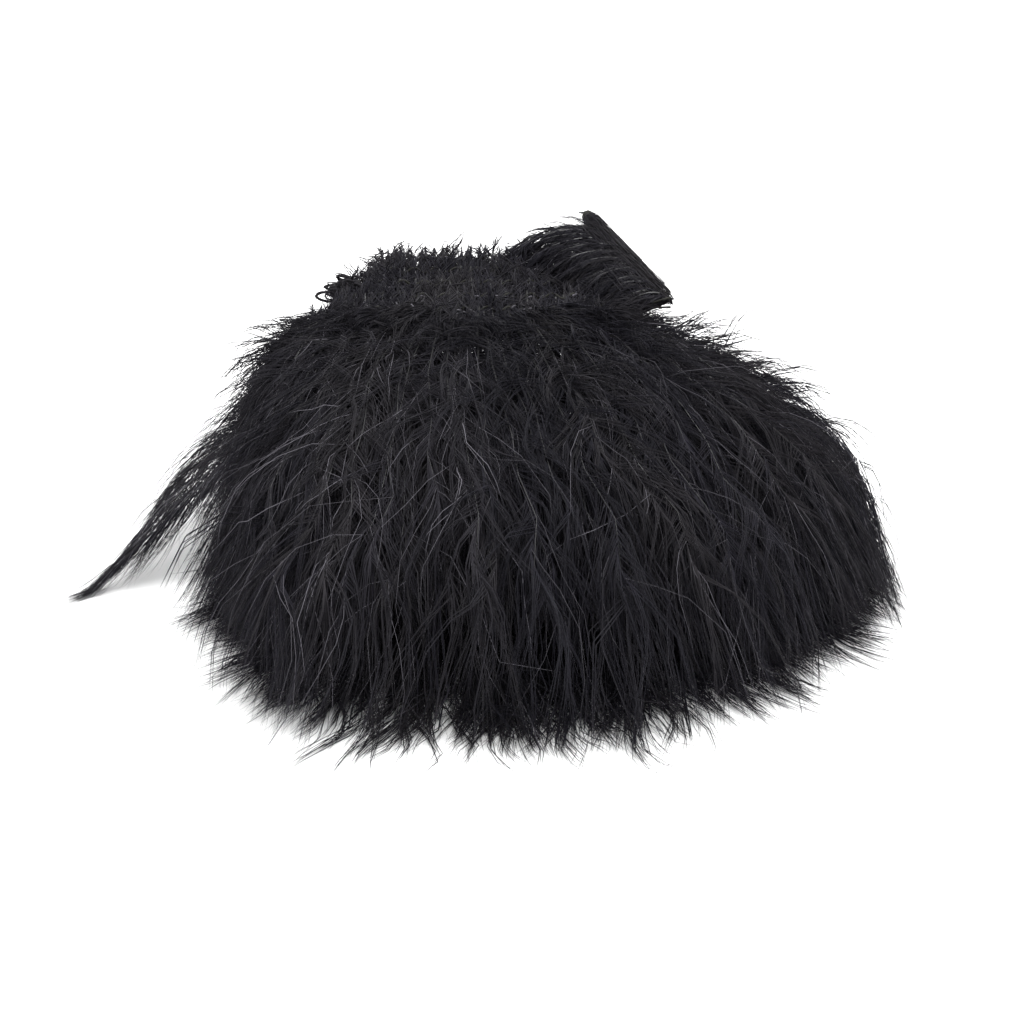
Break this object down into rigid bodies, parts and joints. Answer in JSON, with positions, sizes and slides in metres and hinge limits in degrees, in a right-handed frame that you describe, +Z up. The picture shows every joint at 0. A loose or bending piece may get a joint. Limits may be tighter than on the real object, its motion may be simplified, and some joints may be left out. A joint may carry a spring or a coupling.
{
  "type": "feather boa",
  "caption": "Strung marabou feather boa wound into a flattened coil and laid down, its soft plumes fanning out over the front and both sides.",
  "frame": {"origin": "on the resting surface, under the middle of the box round the whole object", "axes": "+Z up, the plumes pour out towards -Y and the sewn coil stands at +Y"},
  "size_m": [0.1811, 0.165, 0.0635],
  "materials": {
    "marabou": "soft dyed down, dull with fine bright barbs",
    "thread": "matt spun polyester"
  },
  "bodies": {
    "coil": {"turn_1_top_plumes": "marabou", "turn_1_left_plumes": "marabou", "turn_1_bend_plumes": "marabou", "turn_2_top_plumes": "marabou", "turn_2_right_plumes": "marabou", "turn_2_bottom_plumes": "marabou", "turn_2_left_plumes": "marabou", "turn_2_bend_plumes": "marabou", "turn_3_top_plumes": "marabou", "turn_3_right_plumes": "marabou", "turn_3_bottom_plumes": "marabou", "turn_3_left_plumes": "marabou", "turn_3_bend_plumes": "marabou", "turn_4_top_plumes": "marabou", "turn_4_right_plumes": "marabou", "turn_4_bottom_plumes": "marabou", "turn_4_left_plumes": "marabou", "turn_4_bend_plumes": "marabou", "turn_5_bottom_plumes": "marabou", "turn_5_bend_plumes": "marabou", "needle_thread": "thread", "looper_thread": "thread", "start_knot": "thread"},
    "top_plumes": {"turn_5_top_plumes": "marabou"},
    "left_plumes": {"turn_5_left_plumes": "marabou"},
    "right_plumes": {"turn_5_right_plumes": "marabou"},
    "stray_plume": {"stray_plume": "marabou"},
    "loose_end": {"loose_end_plumes": "marabou", "loose_end_needle_thread": "thread", "loose_end_looper_thread": "thread", "end_knot": "thread"}
  },
  "joints": [
    {"name": "top_plumes_lift", "type": "hinge", "parent": "coil", "child": "top_plumes", "pos_m": [0.004, 0.0295, 0.05499], "axis": [-1, 0, 0], "range_deg": [0, 22]},
    {"name": "left_plumes_spread", "type": "hinge", "parent": "coil", "child": "left_plumes", "pos_m": [-0.036, 0.04441, 0.02774], "axis": [0, 0.4226, -0.9063], "range_deg": [0, 16], "stiffness_Nm_per_rad": 0.001, "springref_deg": -8.59},
    {"name": "right_plumes_spread", "type": "hinge", "parent": "coil", "child": "right_plumes", "pos_m": [0.042, 0.04804, 0.02943], "axis": [0, -0.4226, 0.9063], "range_deg": [0, 16], "stiffness_Nm_per_rad": 0.001, "springref_deg": -8.59},
    {"name": "stray_plume_swing", "type": "hinge", "parent": "left_plumes", "child": "stray_plume", "pos_m": [-0.036, 0.04441, 0.02774], "axis": [0, 0.4226, -0.9063], "range_deg": [0, 10]},
    {"name": "loose_end_lift", "type": "hinge", "parent": "coil", "child": "loose_end", "pos_m": [0.047, 0.0295, 0.05799], "axis": [0.9785, 0.2061, 0], "range_deg": [0, 40]}
  ]
}
